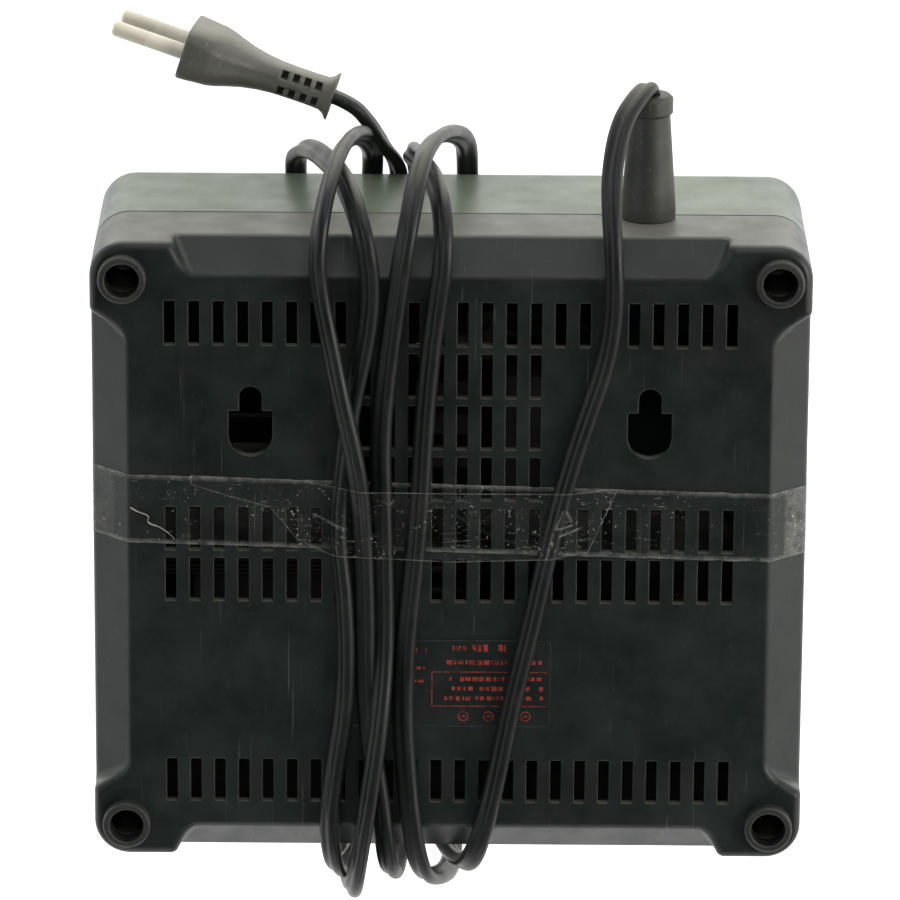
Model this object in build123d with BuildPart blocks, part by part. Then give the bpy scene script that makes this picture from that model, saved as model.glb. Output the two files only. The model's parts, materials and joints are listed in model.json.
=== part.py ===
"""Mains fence energizer / battery unit in a two-shell plastic case, lying face down.

Frame (mm): +Z out of the vented back, +Y towards the side where the lead leaves,
origin at the centre of the front's resting plane.
"""
import os
from math import cos, radians, sin, tan

from build123d import *

os.makedirs("parts", exist_ok=True)

# ---- driving dimensions ------------------------------------------------------
CASE_X = 180.2          # across, along X
CASE_Y = 163.0          # top to bottom, along Y
BACK_Z = 72.0           # plane of the vented back
PARTING_Z = 44.0        # joint between cover and housing
PLAN_RADIUS = 9.0       # case corners, seen from the back
WALL = 2.5
GAP = 0.35              # shadow gap at the parting line
EDGE_ROUND = 2.2        # edges of the housing's back
FRONT_ROUND = 8.0       # edge of the front cover
BEVEL_Y, BEVEL_X, BEVEL_DROP = 8.5, 9.5, 8.5
HALF_X, HALF_Y = CASE_X / 2, CASE_Y / 2

FOOT_X, FOOT_Y = 81.8, 72.4     # feet and case screws, from the centre lines
FOOT_R, FOOT_HOLE_R, FOOT_HEIGHT = 6.1, 4.4, 3.2

SLOT_WIDTH, SLOT_LENGTH = 2.75, 11.5
SLOT_PITCH_X, SLOT_PITCH_Y = 6.1, 13.5

KEY_X, KEY_LOW_Y, KEY_HEAD_R, KEY_SLOT_R = 50.0, 31.5, 5.5, 2.85
KEY_SHOULDER_Y, KEY_TOP_Y = 37.9, 44.3

RELIEF_X, RELIEF_Z, RELIEF_TIP_Y = 49.5, 45.5, 113.5
NECK_R = 4.4

LEAD_R = 2.2            # free lead, taken as round
LEAD_LOW_Z = 2.5        # lead's centre where it lies on the surface below
LEAD_TOP_Z = BACK_Z + 2.6
LEAD_OVER_Z = LEAD_TOP_Z + 4.8

CHANNEL_X = (-47.0, 12.0)       # groove across the front, which the lead runs in
CHANNEL_DEPTH = 5.4
BAY_X, BAY_Y, BAY_DEPTH = (42.0, 80.0), (-58.0, 58.0), 22.0   # recess for the controls

BOARD_X, BOARD_Y, BOARD_Z, BOARD_T = (-12.0, 36.0), (-64.0, 60.0), 20.0, 1.6
BOARD_TOP = BOARD_Z + BOARD_T

CORNERS = [(sx * FOOT_X, sy * FOOT_Y) for sx in (-1, 1) for sy in (-1, 1)]


# ---- small helpers -----------------------------------------------------------
def block(x, y, z, mode=Mode.ADD):
    """A block between three pairs of limits, in the part being built."""
    with Locations(((x[0] + x[1]) / 2, (y[0] + y[1]) / 2, (z[0] + z[1]) / 2)):
        Box(x[1] - x[0], y[1] - y[0], z[1] - z[0], mode=mode)


def post(x, y, z, radius, mode=Mode.ADD):
    """An upright cylinder between two heights."""
    with Locations((x, y, (z[0] + z[1]) / 2)):
        Cylinder(radius, z[1] - z[0], mode=mode)


def save(builder, name):
    """Label the finished piece and write it as its own STEP file."""
    builder.part.label = name
    export_step(builder.part, f"parts/{name}.step")


def plan_block(inset, bottom, top):
    """Solid with the case's plan outline drawn in by inset."""
    with BuildPart() as solid:
        with BuildSketch(Plane.XY.offset(bottom)):
            RectangleRounded(CASE_X - 2 * inset, CASE_Y - 2 * inset, PLAN_RADIUS - inset)
        extrude(amount=top - bottom)
    return solid.part


def bevel_wedge(outward, edge, reach, half_inner, half_outer, inset):
    """Wedge that cuts one sloping flank between two corner lobes of the back.

    inset moves the slope into the case along its normal, for the inner shell.
    """
    across = Plane(origin=(0, 0, 0), x_dir=outward, z_dir=Vector(outward).cross(Vector(0, 0, 1)))
    slope = Vector(reach, BEVEL_DROP).length
    lower = inset * slope / reach
    top = BACK_Z + 1 - lower
    rise = BEVEL_DROP / reach
    inner_u, outer_u = edge - reach - 1 / rise, edge + 1
    with BuildPart() as wedge:
        with BuildSketch(across):
            with BuildLine():
                Polyline((inner_u, top), (outer_u, top - (outer_u - inner_u) * rise),
                         (outer_u, BACK_Z + 2), (inner_u, BACK_Z + 2), close=True)
            make_face()
        extrude(amount=half_outer + 20, both=True)
        flare = (half_outer - half_inner) / reach
        near = half_inner + inset - flare * (1 / rise)
        far = half_outer + inset + flare
        with BuildSketch(Plane(origin=(0, 0, BACK_Z - 30), x_dir=outward, z_dir=(0, 0, 1))):
            with BuildLine():
                Polyline((inner_u, near), (outer_u, far), (outer_u, -far), (inner_u, -near), close=True)
            make_face()
        extrude(amount=40, mode=Mode.INTERSECT)
    return wedge.part


def case_body(inset, bottom, top):
    """Housing outline with its four sloping flanks, drawn in by inset."""
    with BuildPart() as body:
        add(plan_block(inset, bottom, top))
        for sign in (-1, 1):
            add(bevel_wedge((0, sign, 0), HALF_Y, BEVEL_Y, 65.0, 69.5, inset), mode=Mode.SUBTRACT)
            add(bevel_wedge((sign, 0, 0), HALF_X, BEVEL_X, 57.0, 63.5, inset), mode=Mode.SUBTRACT)
    return body.part


# ---- housing -----------------------------------------------------------------
outer_body = case_body(0, PARTING_Z, BACK_Z)
inner_body = case_body(WALL, PARTING_Z, BACK_Z - WALL)
tongue_room = plan_block(1.25, PARTING_Z, PARTING_Z + 2.3)

with BuildPart() as back_housing:
    add(outer_body)
    above_parting = back_housing.edges().filter_by(lambda e: e.center().Z > BACK_Z - BEVEL_DROP - 1)
    fillet(above_parting, EDGE_ROUND)
    add(inner_body, mode=Mode.SUBTRACT)
    add(tongue_room, mode=Mode.SUBTRACT)
    for x, y in CORNERS:
        post(x, y, (PARTING_Z + 0.2, BACK_Z - 3), FOOT_R + 0.4)
        post(x, y, (BACK_Z - 2.2, BACK_Z + 1), FOOT_R, mode=Mode.SUBTRACT)
        post(x, y, (50.0, BACK_Z), FOOT_HOLE_R, mode=Mode.SUBTRACT)
        post(x, y, (PARTING_Z, 51.0), 2.2, mode=Mode.SUBTRACT)
    cut_depth = WALL + 2
    rows = [4.5, 0.5, -0.5, -4.5]
    grille = [3.5, 2.5, 1.5]
    with BuildSketch(Plane.XY.offset(BACK_Z + 1)):
        for row in rows:
            with Locations((0, row * SLOT_PITCH_Y)):
                with GridLocations(SLOT_PITCH_X, 0, 24, 1):
                    Rectangle(SLOT_WIDTH, SLOT_LENGTH)
        for row in grille:
            with Locations((0, row * SLOT_PITCH_Y)):
                with GridLocations(SLOT_PITCH_X, 0, 8, 1):
                    Rectangle(SLOT_WIDTH, SLOT_LENGTH)
    extrude(amount=-cut_depth, mode=Mode.SUBTRACT)
    with BuildSketch(Plane.XY.offset(BACK_Z + 1)):
        for sign in (-1, 1):
            with Locations((sign * KEY_X, KEY_LOW_Y)):
                Circle(KEY_HEAD_R)
            with Locations((sign * KEY_X, (KEY_LOW_Y + KEY_SHOULDER_Y) / 2)):
                Rectangle(2 * KEY_HEAD_R, KEY_SHOULDER_Y - KEY_LOW_Y)
            with Locations((sign * KEY_X, (KEY_SHOULDER_Y + KEY_TOP_Y - KEY_SLOT_R) / 2)):
                Rectangle(2 * KEY_SLOT_R, KEY_TOP_Y - KEY_SLOT_R - KEY_SHOULDER_Y)
            with Locations((sign * KEY_X, KEY_TOP_Y - KEY_SLOT_R)):
                Circle(KEY_SLOT_R)
    extrude(amount=-cut_depth, mode=Mode.SUBTRACT)
    with BuildSketch(Plane(origin=(RELIEF_X, HALF_Y + 1, RELIEF_Z), z_dir=(0, -1, 0))):
        Circle(NECK_R + 0.1)
    extrude(amount=5, mode=Mode.SUBTRACT)
save(back_housing, "back_housing")

with BuildPart() as rubber_feet:
    for x, y in CORNERS:
        post(x, y, (BACK_Z - 2.2, BACK_Z + FOOT_HEIGHT), FOOT_R)
    fillet(rubber_feet.faces().sort_by(Axis.Z)[-4:].edges(), 0.7)
    for x, y in CORNERS:
        post(x, y, (BACK_Z - 3, BACK_Z + FOOT_HEIGHT + 1), FOOT_HOLE_R, mode=Mode.SUBTRACT)
save(rubber_feet, "rubber_feet")

with BuildPart() as case_screws:
    for x, y in CORNERS:
        post(x, y, (51.0, 53.6), 3.6)
        post(x, y, (28.0, 51.0), 1.9)
    with Locations([(x, y, 53.6) for x, y in CORNERS]):
        Box(5.0, 0.9, 2.0, mode=Mode.SUBTRACT)
        Box(0.9, 5.0, 2.0, mode=Mode.SUBTRACT)
save(case_screws, "case_screws")

# ---- front cover -------------------------------------------------------------
channel_roof = CHANNEL_DEPTH + WALL
bay_roof = BAY_DEPTH + WALL
STANDOFFS = [(BOARD_X[0] + 4, y) for y in (-58.0, 54.0)] + [(BOARD_X[1] - 4, y) for y in (-58.0, 54.0)]
TERMINALS = {"fence": (61.0, -30.0), "earth": (61.0, -4.0)}
SWITCH = (61.0, 38.0)
LAMP = (61.0, 17.0)
TRANSFORMER_FEET = [(-80.5, 0.0), (-15.5, 0.0)]
CLAMP_SCREWS = [(RELIEF_X - 8, 66.0), (RELIEF_X + 8, 66.0)]

with BuildPart() as cover_cavity:
    add(plan_block(WALL, WALL, PARTING_Z + 1))
    fillet(cover_cavity.faces().sort_by(Axis.Z)[0].edges(), FRONT_ROUND - WALL)
    block((CHANNEL_X[0] - WALL, CHANNEL_X[1] + WALL), (-HALF_Y, HALF_Y), (0, channel_roof), Mode.SUBTRACT)
    block((BAY_X[0] - WALL, BAY_X[1] + WALL), (BAY_Y[0] - WALL, BAY_Y[1] + WALL),
          (0, bay_roof), Mode.SUBTRACT)
    for x, y in CORNERS:
        post(x, y, (0, PARTING_Z + 2), FOOT_R, mode=Mode.SUBTRACT)

with BuildPart() as front_cover:
    add(plan_block(0, 0, PARTING_Z - GAP))
    fillet(front_cover.faces().sort_by(Axis.Z)[0].edges(), FRONT_ROUND)
    chamfer(front_cover.faces().sort_by(Axis.Z)[-1].edges(), 0.5)
    with BuildSketch(Plane.XY.offset(PARTING_Z - 2)):
        RectangleRounded(CASE_X - 2.7, CASE_Y - 2.7, PLAN_RADIUS - 1.35)
    extrude(amount=4.0)
    add(cover_cavity.part, mode=Mode.SUBTRACT)
    block(CHANNEL_X, (-HALF_Y - 1, HALF_Y + 1), (-1, CHANNEL_DEPTH), Mode.SUBTRACT)
    block(BAY_X, BAY_Y, (-1, BAY_DEPTH), Mode.SUBTRACT)
    block((-HALF_X + WALL, HALF_X - WALL), (-HALF_Y + WALL, HALF_Y - WALL),
          (PARTING_Z - GAP, PARTING_Z + 3), Mode.SUBTRACT)
    for x, y in CORNERS:
        block((x - 8, x + 8), (y - 8, y + 8), (PARTING_Z - GAP, PARTING_Z + 3), Mode.SUBTRACT)
        post(x, y, (25.0, PARTING_Z + 1), 1.9, mode=Mode.SUBTRACT)
    block((RELIEF_X - 7.5, RELIEF_X + 7.5), (HALF_Y - 4, HALF_Y), (PARTING_Z - GAP, 50), Mode.SUBTRACT)
    with BuildSketch(Plane(origin=(RELIEF_X, HALF_Y + 1, RELIEF_Z), z_dir=(0, -1, 0))):
        Circle(NECK_R + 0.1)
    extrude(amount=5, mode=Mode.SUBTRACT)
    for x, y in STANDOFFS:
        post(x, y, (2.0, BOARD_Z), 3.5)
        post(x, y, (12.0, BOARD_Z + 1), 1.25, mode=Mode.SUBTRACT)
        block(CHANNEL_X, (y - 5, y + 5), (1.0, CHANNEL_DEPTH), Mode.SUBTRACT)
    for x, y in TRANSFORMER_FEET:
        block((x - 5, x + 5), (y - 7, y + 7), (max(2.0, CHANNEL_DEPTH if x > -40 else 2.0), 9.0))
        post(x, y, (CHANNEL_DEPTH + 1, 10.0), 1.4, mode=Mode.SUBTRACT)
    for x, y in CLAMP_SCREWS:
        post(x, y, (2.0, 40.0), 3.6)
        post(x, y, (30.0, 41.0), 1.3, mode=Mode.SUBTRACT)
    for x, y in TERMINALS.values():
        post(x, y, (BAY_DEPTH - 1, bay_roof + 1), 3.05, mode=Mode.SUBTRACT)
    block((SWITCH[0] - 9.6, SWITCH[0] + 9.6), (SWITCH[1] - 6.6, SWITCH[1] + 6.6),
          (BAY_DEPTH - 1, bay_roof + 1), Mode.SUBTRACT)
    post(LAMP[0], LAMP[1], (BAY_DEPTH - 1, bay_roof + 1), 3.3, mode=Mode.SUBTRACT)
save(front_cover, "front_cover")

with BuildPart() as rating_plate:
    with BuildSketch(Plane.XY.offset(BACK_Z + 0.02)):
        with Locations((0, -34.2)):
            RectangleRounded(51.6, 23.2, 1.0)
    extrude(amount=0.2)
save(rating_plate, "rating_plate")

# ---- lead entry --------------------------------------------------------------
relief_plane = Plane(origin=(RELIEF_X, 0, RELIEF_Z), x_dir=(1, 0, 0), z_dir=(0, 0, 1))
with BuildPart() as strain_relief:
    with BuildSketch(relief_plane):
        with BuildLine():
            Polyline((0, 76.2), (6.4, 76.2), (6.4, 78.6), (NECK_R, 78.6), (NECK_R, HALF_Y + 0.15),
                     (6.9, HALF_Y + 0.15), (6.9, 84.5), (5.2, 108.2), (5.9, 109.0), (5.9, 112.6),
                     (5.0, RELIEF_TIP_Y), (0, RELIEF_TIP_Y), close=True)
        make_face()
    revolve(axis=Axis((RELIEF_X, 0, RELIEF_Z), (0, 1, 0)))
    with BuildSketch(Plane(origin=(RELIEF_X, RELIEF_TIP_Y, RELIEF_Z), z_dir=(0, 1, 0))):
        Circle(LEAD_R)
    extrude(amount=-5.0, mode=Mode.SUBTRACT)
save(strain_relief, "strain_relief")

with BuildPart() as lead_end:
    with BuildSketch(Plane(origin=(RELIEF_X, 76.2, RELIEF_Z), z_dir=(0, -1, 0))):
        Circle(LEAD_R)
    extrude(amount=17.0)
save(lead_end, "lead_end_inside")

with BuildPart() as lead_clamp:
    block((RELIEF_X - 12, RELIEF_X + 12), (62.0, 70.0), (40.0, 43.2))
    block((RELIEF_X - 12, RELIEF_X - 4), (62.0, 70.0), (43.2, 49.8))
    block((RELIEF_X + 4, RELIEF_X + 12), (62.0, 70.0), (43.2, 49.8))
    block((RELIEF_X - 12, RELIEF_X + 12), (62.0, 70.0), (47.8, 50.6))
    for x, y in CLAMP_SCREWS:
        post(x, y, (39.0, 51.0), 1.7, mode=Mode.SUBTRACT)
save(lead_clamp, "lead_clamp")

with BuildPart() as clamp_screws:
    for x, y in CLAMP_SCREWS:
        post(x, y, (31.0, 50.6), 1.3)
        post(x, y, (50.6, 52.6), 2.9)
save(clamp_screws, "clamp_screws")

# ---- free lead: route --------------------------------------------------------
PLUG_TAIL = (-30.3, 105.4, 19.6)
PLUG_AXIS = Vector(-0.945, 0.304, -0.1015).normalized()
lead_straight_in = Vector(*PLUG_TAIL) - PLUG_AXIS * 5.0


def under(x_bottom, x_top, sway):
    """Route points of one pass below the front, from the -Y side to the +Y side."""
    return [(x_bottom, -62.0, LEAD_LOW_Z), (x_bottom + sway, -22.0, LEAD_LOW_Z),
            (x_top + sway, 18.0, LEAD_LOW_Z), (x_top, 60.0, LEAD_LOW_Z)]


def top_loop(low, points):
    """Turn round the +Y side, rising from the surface to the back."""
    return [(low[0], low[1], LEAD_LOW_Z)] + points


T, OVER = LEAD_TOP_Z, LEAD_OVER_Z
STRAND_R = [(RELIEF_X, RELIEF_TIP_Y - 5.0, RELIEF_Z), (RELIEF_X, 117.8, RELIEF_Z), (46.6, 118.2, 54.3),
            (42.0, 110.5, 60.8), (39.6, 100.0, 67.6), (39.6, 89.0, 74.2), (40.6, 76.5, 76.6),
            (40.6, 63.0, 75.0), (38.4, 50.0, T), (33.0, 34.0, T), (28.0, 16.0, T), (24.0, -2.0, T),
            (20.4, -20.0, T), (16.2, -38.0, T), (12.9, -56.0, T), (9.6, -71.0, T + 0.6),
            (6.2, -82.5, 73.2), (2.5, -87.5, 60.0), (-2.0, -89.0, 38.0), (-5.2, -90.0, 17.0),
            (-6.0, -86.5, LEAD_LOW_Z)]
LOOP_D = top_loop((-8.3, 86.0), [(-9.6, 92.0, 17.0), (-10.8, 94.5, 36.0), (-6.7, 96.5, 56.0),
                                 (-2.6, 92.0, 73.0), (-1.8, 79.0, 77.0), (-3.6, 66.0, 75.0)])
STRAND_D = [(-5.1, 53.0, T), (-6.5, 36.0, T), (-7.4, 15.4, T), (-9.1, -4.5, T), (-11.1, -23.2, T),
            (-11.6, -43.4, T), (-10.4, -60.0, T), (-9.0, -74.0, T + 0.8), (-6.6, -85.5, 73.6),
            (-3.0, -91.0, 62.0), (1.0, -96.5, 43.0), (1.8, -95.0, 19.0), (1.7, -86.8, LEAD_LOW_Z)]
LOOP_C = top_loop((4.1, 87.0), [(4.0, 95.5, 16.0), (-0.5, 100.5, 36.0), (-4.6, 103.0, 56.0),
                                (-8.4, 98.0, 72.5), (-11.0, 85.5, 77.6), (-13.2, 71.0, 75.6)])
STRAND_C = [(-15.4, 54.0, T), (-17.5, 34.0, T), (-17.1, 15.4, T), (-16.4, -6.0, T), (-16.1, -25.6, T),
            (-17.4, -43.5, OVER), (-20.2, -64.5, OVER), (-22.2, -78.0, T + 2.4), (-23.7, -89.0, 73.0),
            (-24.7, -95.0, 61.0), (-26.3, -97.5, 40.0), (-27.3, -95.0, 18.0), (-27.5, -87.0, LEAD_LOW_Z)]
LOOP_B = top_loop((-40.5, 86.0), [(-39.2, 92.0, 17.0), (-35.5, 94.5, 36.0), (-29.2, 96.0, 56.0),
                                  (-24.3, 93.0, 72.0), (-21.0, 82.5, 76.8), (-19.8, 70.0, 75.0)])
STRAND_B = [(-21.1, 57.0, T), (-24.2, 43.0, T), (-26.6, 26.0, T), (-28.3, 7.0, T), (-26.4, -9.0, T),
            (-25.8, -25.0, T), (-26.3, -41.0, T), (-28.9, -57.0, T), (-30.4, -71.0, T + 0.6),
            (-29.2, -83.5, 73.5), (-26.5, -89.0, 62.0), (-22.5, -91.0, 40.0), (-21.2, -90.5, 17.0),
            (-21.0, -86.5, LEAD_LOW_Z)]
LOOP_A = top_loop((-21.8, 84.5), [(-22.0, 91.0, 16.0), (-23.6, 98.0, 36.0), (-26.6, 102.0, 56.0),
                                  (-29.8, 97.0, 72.5), (-33.2, 84.5, 77.4), (-32.7, 71.0, 75.6)])
STRAND_A = [(-30.4, 58.5, T + 0.8), (-27.4, 44.0, OVER), (-22.9, 24.0, OVER), (-21.8, 6.0, T),
            (-21.1, -14.0, T), (-21.1, -33.0, T), (-19.6, -50.0, T), (-17.4, -64.0, T),
            (-16.2, -74.0, T + 0.6), (-15.0, -84.0, 73.5), (-13.6, -89.5, 62.0), (-12.6, -91.5, 40.0),
            (-12.4, -91.0, 17.0), (-12.5, -86.5, LEAD_LOW_Z)]
TAIL = [(-13.4, 79.0, LEAD_LOW_Z), (-14.4, 84.5, 4.6), (-18.0, 90.8, 10.8), (-20.4, 98.8, 18.2),
        tuple(lead_straight_in), PLUG_TAIL]

LEAD_ROUTE = (STRAND_R + under(-6.2, -8.3, 0.6) + LOOP_D + STRAND_D + under(1.9, 4.1, 0.5)
              + LOOP_C + STRAND_C + under(-28.5, -39.0, -0.6) + LOOP_B + STRAND_B
              + under(-21.0, -21.8, -0.5) + LOOP_A + STRAND_A + under(-12.6, -13.2, -0.4) + TAIL)


def corner_radii(points):
    """Largest arc each corner takes: 0.45 of its shorter run over tan(half the turn)."""
    radii = []
    for before, here, after in zip(points, points[1:], points[2:]):
        arrive, leave = here - before, after - here
        half_turn = radians(arrive.get_angle(leave)) / 2
        radii.append(0.45 * min(arrive.length, leave.length) / tan(half_turn))
    return radii


def tube(points, radii, radius):
    """Round tube along straight runs joined by tangent arcs."""
    with BuildPart() as made:
        with BuildLine() as path:
            FilletPolyline(*points, radius=radii)
        with BuildSketch(Plane(origin=path.line @ 0, z_dir=path.line % 0)):
            Circle(radius)
        sweep()
    return made, path.wires()[0].length


route = [Vector(*point) for point in LEAD_ROUTE]
route_radii = corner_radii(route)
print("lead radii", [round(radius, 1) for radius in route_radii])
# The lead is cut into nodes at the middle of each pass below the front.
cuts = [i for i in range(len(route) - 1)
        if route[i].Z == LEAD_LOW_Z and route[i].Y == -22.0 and route[i + 1].Y == 18.0]
starts = [0] + [i + 1 for i in cuts]
ends = [i + 1 for i in cuts] + [len(route)]
lead_length = 0
for number, (start, end) in enumerate(zip(starts, ends), 1):
    first = [(route[start - 1] + route[start]) / 2] if start else []
    last = [(route[end - 1] + route[end]) / 2] if end < len(route) else []
    points = first + route[start:end] + last
    radii = route_radii[max(start - 1, 0):end - 1 + (0 if end < len(route) else -1)]
    lead, length = tube(points, radii, LEAD_R)
    lead_length += length
    print(f"power_lead_{number} {length:.1f} mm, volume {lead.part.volume:.0f},"
          f" section x length {3.14159 * LEAD_R ** 2 * length:.0f}")
    save(lead, f"power_lead_{number}")
print(f"lead length {lead_length:.0f} mm")

# ---- plug, lying on its narrow edge ------------------------------------------
TAIL_LENGTH, BODY_LENGTH = 15.0, 24.2
wide = Vector(-0.0786, 0.090, 0.9925)
wide = (wide - PLUG_AXIS * wide.dot(PLUG_AXIS)).normalized()
thick = wide.cross(PLUG_AXIS)


def plug_plane(distance):
    """Plane across the plug, distance mm from the end where the lead enters."""
    return Plane(origin=Vector(*PLUG_TAIL) + PLUG_AXIS * distance, x_dir=thick, z_dir=PLUG_AXIS)


with BuildPart() as plug_body:
    with BuildSketch(plug_plane(0)):
        RectangleRounded(12.2, 10.6, 3.0)
    with BuildSketch(plug_plane(2.5)):
        RectangleRounded(10.2, 10.4, 3.0)
    with BuildSketch(plug_plane(TAIL_LENGTH)):
        RectangleRounded(11.2, 12.6, 3.0)
    loft(ruled=True)
    with BuildSketch(plug_plane(TAIL_LENGTH)):
        RectangleRounded(11.2, 12.6, 3.0)
    with BuildSketch(plug_plane(TAIL_LENGTH + BODY_LENGTH)):
        RectangleRounded(14.2, 30.0, 3.5)
    loft(ruled=True)
    for distance in (3.4, 6.4, 9.4, 12.4):
        for side in (-1, 1):
            with BuildSketch(plug_plane(distance)):
                with Locations((side * 4.6, 0)):
                    Rectangle(3.2, 5.4)
            extrude(amount=1.5, mode=Mode.SUBTRACT)
save(plug_body, "plug_body")

PIN_SPACING, PIN_R, PIN_CORE_R = 18.6, 2.0, 1.5
SLEEVE_LENGTH, BARE_LENGTH, PIN_ROUND = 10.0, 9.0, 1.2
PIN_PLACES = [(0, -PIN_SPACING / 2), (0, PIN_SPACING / 2)]
face_at = TAIL_LENGTH + BODY_LENGTH
with BuildPart() as pin_sleeves:
    with BuildSketch(plug_plane(face_at)):
        with Locations(*PIN_PLACES):
            Circle(PIN_R)
            Circle(PIN_CORE_R, mode=Mode.SUBTRACT)
    extrude(amount=SLEEVE_LENGTH)
save(pin_sleeves, "pin_sleeves")

with BuildPart() as plug_pins:
    with BuildSketch(plug_plane(face_at)):
        with Locations(*PIN_PLACES):
            Circle(PIN_CORE_R)
    extrude(amount=SLEEVE_LENGTH)
    with BuildSketch(plug_plane(face_at + SLEEVE_LENGTH)):
        with Locations(*PIN_PLACES):
            Circle(PIN_R)
    extrude(amount=BARE_LENGTH)
    tip_at = face_at + SLEEVE_LENGTH + BARE_LENGTH
    along_plug = [(edge, (edge.center() - Vector(*PLUG_TAIL)).dot(PLUG_AXIS)) for edge in plug_pins.edges()]
    fillet([edge for edge, distance in along_plug if distance > tip_at - 1], PIN_ROUND)
save(plug_pins, "plug_pins")

# ---- sticky tape -------------------------------------------------------------
TAPE_T = 0.25


def tape(points, y_low, y_high):
    """Thin strip that follows a profile in XZ, between two values of Y."""
    with BuildPart() as strip:
        with BuildSketch(Plane(origin=(0, y_low, 0), x_dir=(1, 0, 0), z_dir=(0, -1, 0))):
            with BuildLine():
                Polyline(*points, *[(x, z + TAPE_T) for x, z in reversed(points)], close=True)
            make_face()
        extrude(amount=-(y_high - y_low))
    return strip


with BuildPart() as tape_band:
    with BuildSketch(Plane(origin=(0, 0, 0), x_dir=(1, 0, 0), z_dir=(0, -1, 0))):
        with BuildLine():
            outside = [(HALF_X + 0.37, 46.0), (HALF_X + 0.37, BACK_Z - BEVEL_DROP + 0.3),
                       (HALF_X - BEVEL_X + 0.2, BACK_Z + 0.37)]
            inside = [(HALF_X + 0.12, 46.0), (HALF_X + 0.12, BACK_Z - BEVEL_DROP + 0.2),
                      (HALF_X - BEVEL_X + 0.1, BACK_Z + 0.12)]
            Polyline(*outside, *[(-x, z) for x, z in reversed(outside)],
                     *[(-x, z) for x, z in inside], *reversed(inside), close=True)
        make_face()
    extrude(amount=-18.0)
save(tape_band, "tape_band")

tape_over = tape([(-65.0, BACK_Z + 0.5), (-50.0, BACK_Z + 0.5), (-35.0, 81.3), (-6.0, 81.3),
                  (20.0, 77.3), (30.0, 77.3), (41.0, BACK_Z + 0.5)], 0.5, 19.0)
save(tape_over, "tape_over")

# ---- transformer -------------------------------------------------------------
CORE_X, CORE_T, CORE_Z = (-75.0, -21.0), 11.0, (10.4, 55.4)
core_mid = (CORE_X[0] + CORE_X[1]) / 2
with BuildPart() as transformer_core:
    block(CORE_X, (-CORE_T, CORE_T), CORE_Z)
    for sign in (-1, 1):
        x = core_mid + sign * 13.5
        block((x - 4.5, x + 4.5), (-CORE_T - 1, CORE_T + 1), (CORE_Z[0] + 9, CORE_Z[1] - 9), Mode.SUBTRACT)
save(transformer_core, "transformer_core")

with BuildPart() as transformer_bobbin:
    for z in (CORE_Z[0] + 9.2, CORE_Z[1] - 10.4):
        block((core_mid - 17.6, core_mid + 17.6), (-CORE_T - 10, CORE_T + 10), (z, z + 1.2))
    block((core_mid - 10.4, core_mid + 10.4), (-CORE_T - 1.4, CORE_T + 1.4),
          (CORE_Z[0] + 9.2, CORE_Z[1] - 9.2))
    block((core_mid - 9.2, core_mid + 9.2), (-CORE_T - 0.2, CORE_T + 0.2), (CORE_Z[0] + 8, CORE_Z[1] - 8),
          Mode.SUBTRACT)
save(transformer_bobbin, "transformer_bobbin")

with BuildPart() as transformer_coil:
    with BuildSketch(Plane.XY.offset(CORE_Z[0] + 10.6)):
        with Locations((core_mid, 0)):
            RectangleRounded(34.0, 2 * CORE_T + 18.0, 5.0)
            Rectangle(21.0, 2 * CORE_T + 3.0, mode=Mode.SUBTRACT)
    extrude(amount=CORE_Z[1] - CORE_Z[0] - 21.2)
save(transformer_coil, "transformer_coil")

with BuildPart() as transformer_bracket:
    block((CORE_X[0] - 1.3, CORE_X[1] + 1.3), (-7.0, 7.0), (9.1, CORE_Z[1] + 1.3))
    block((CORE_X[0] - 0.1, CORE_X[1] + 0.1), (-8.0, 8.0), (8.0, CORE_Z[1] + 0.1), Mode.SUBTRACT)
    block((CORE_X[0] - 10.0, CORE_X[0] - 0.1), (-7.0, 7.0), (9.1, 10.3))
    block((CORE_X[1] + 0.1, CORE_X[1] + 10.0), (-7.0, 7.0), (9.1, 10.3))
    for x, y in TRANSFORMER_FEET:
        post(x, y, (8.0, 11.0), 1.7, mode=Mode.SUBTRACT)
save(transformer_bracket, "transformer_bracket")

with BuildPart() as transformer_screws:
    for x, y in TRANSFORMER_FEET:
        post(x, y, (CHANNEL_DEPTH + 1.6, 10.3), 1.4)
        post(x, y, (10.3, 12.2), 2.9)
save(transformer_screws, "transformer_screws")

# ---- circuit board and what is soldered to it ---------------------------------
with BuildPart() as circuit_board:
    block(BOARD_X, BOARD_Y, (BOARD_Z + 0.02, BOARD_TOP))
    for x, y in STANDOFFS:
        post(x, y, (BOARD_Z - 1, BOARD_TOP + 1), 1.7, mode=Mode.SUBTRACT)
save(circuit_board, "circuit_board")

with BuildPart() as board_screws:
    for x, y in STANDOFFS:
        post(x, y, (13.0, BOARD_TOP), 1.25)
        post(x, y, (BOARD_TOP, BOARD_TOP + 1.9), 2.8)
save(board_screws, "board_screws")

on_board = BOARD_TOP + 0.02
with BuildPart() as storage_capacitor:
    block((12.0, 34.0), (0.0, 42.0), (on_board, on_board + 34))
    fillet(storage_capacitor.edges().filter_by(Axis.Z), 2.0)
save(storage_capacitor, "storage_capacitor")

with BuildPart() as smoothing_capacitors:
    for y in (-8.0, -28.0):
        post(24.0, y, (on_board, on_board + 30), 7.8)
        post(24.0, y, (on_board + 29.4, on_board + 31), 6.6, mode=Mode.SUBTRACT)
save(smoothing_capacitors, "smoothing_capacitors")

with BuildPart() as heat_sink:
    block((10.0, 34.0), (-42.0, -40.0), (on_board, on_board + 26))
    for x in (10.0, 16.0, 22.0, 28.0):
        block((x, x + 1.4), (-56.0, -42.0), (on_board, on_board + 26))
    block((28.0, 34.0), (-56.0, -53.0), (on_board - 1, on_board + 5), Mode.SUBTRACT)
save(heat_sink, "heat_sink")

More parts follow.
